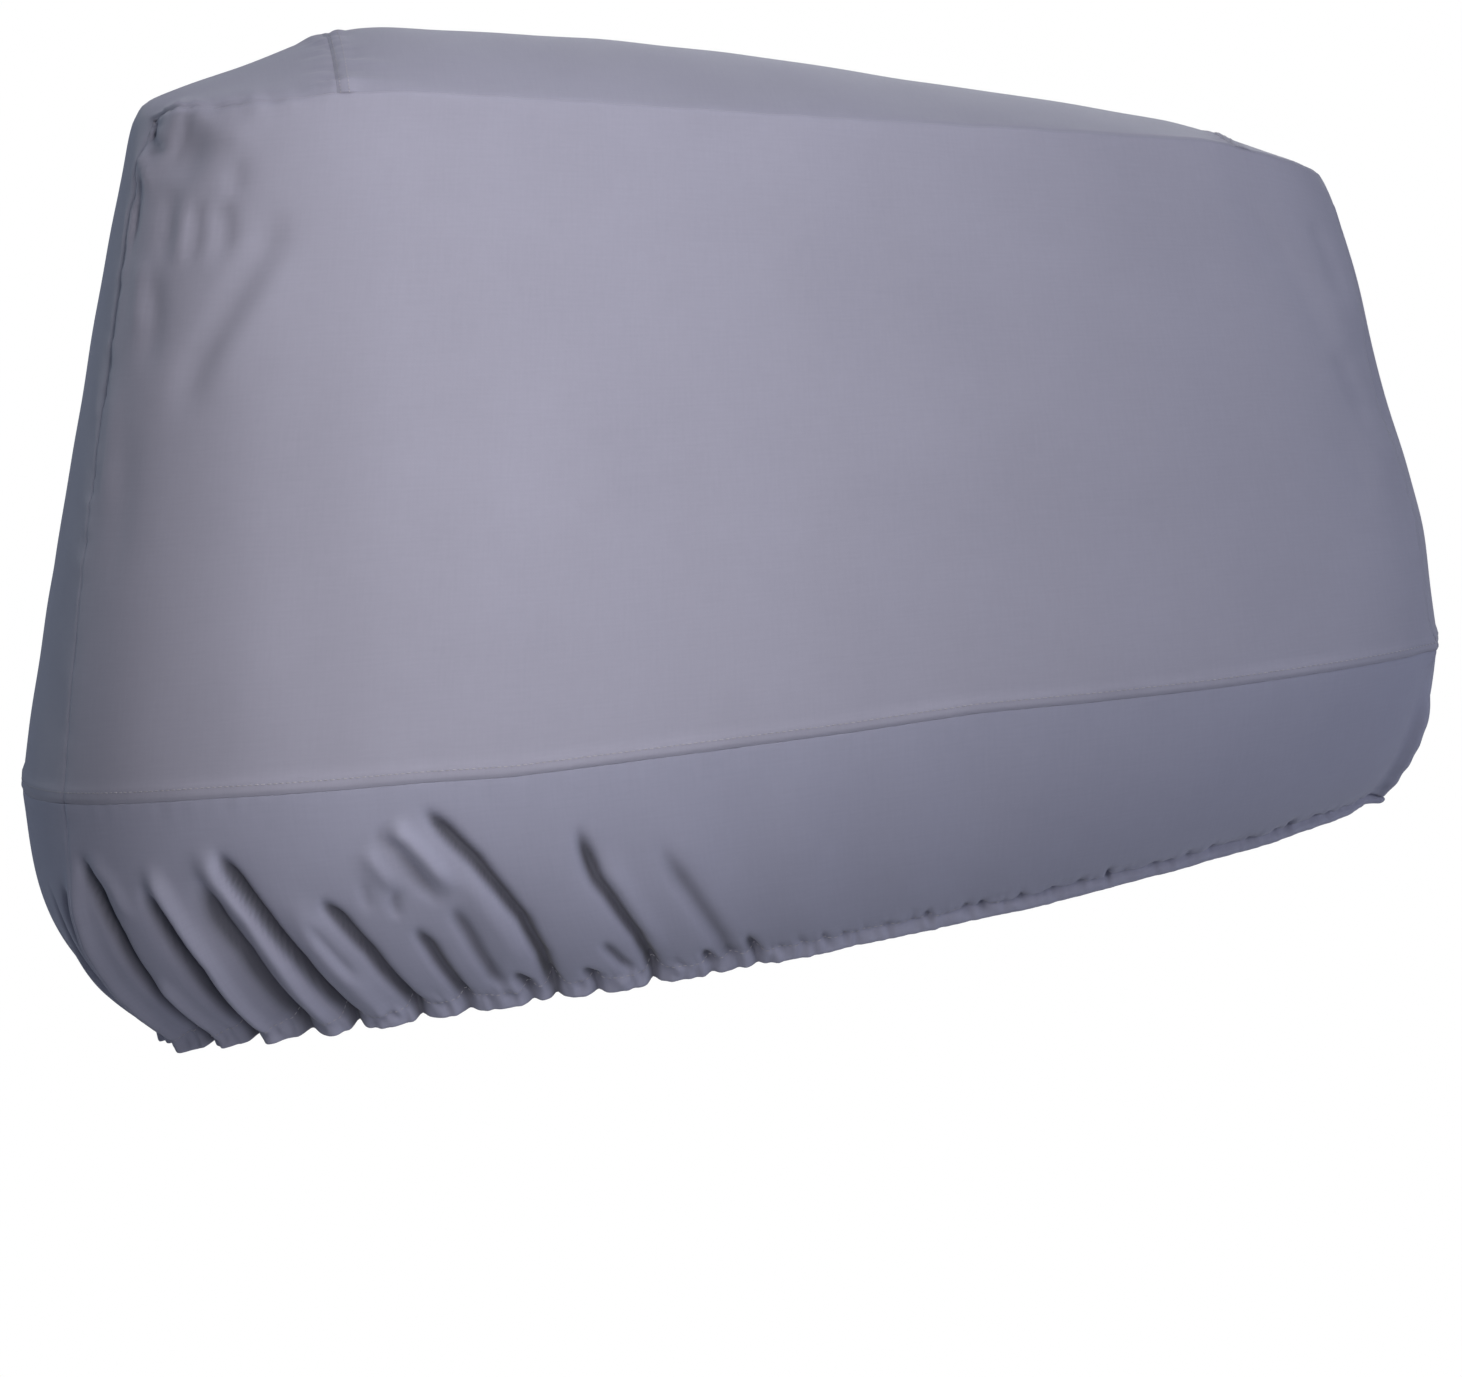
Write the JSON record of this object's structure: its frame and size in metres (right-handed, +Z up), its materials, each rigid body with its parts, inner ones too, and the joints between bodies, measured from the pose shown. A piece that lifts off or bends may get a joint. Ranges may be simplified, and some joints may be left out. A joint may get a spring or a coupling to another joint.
{
  "type": "outboard motor cover",
  "caption": "Fitted cloth cover for an outboard motor cowling, with side and centre panels, a gathered skirt and an elastic hem.",
  "frame": {"origin": "underside of the top panel, mid width, about mid length, where the cover bears on the cowling", "axes": "+X toward the front of the motor (the boat's side), +Y to port, +Z up; the pictured side faces -Y"},
  "size_m": [0.795, 0.4872, 0.571],
  "materials": {
    "cover_cloth": "matt closely woven cloth, lavender grey",
    "skirt_cloth": "matt closely woven cloth, lavender grey, gathered"
  },
  "bodies": {
    "root": {"side_panel_starboard": "cover_cloth", "side_panel_port": "cover_cloth", "rear_panel": "cover_cloth", "top_panel": "cover_cloth", "front_panel": "cover_cloth", "skirt_starboard": "skirt_cloth", "skirt_port": "skirt_cloth", "skirt_rear": "skirt_cloth", "skirt_front": "skirt_cloth"}
  },
  "joints": []
}
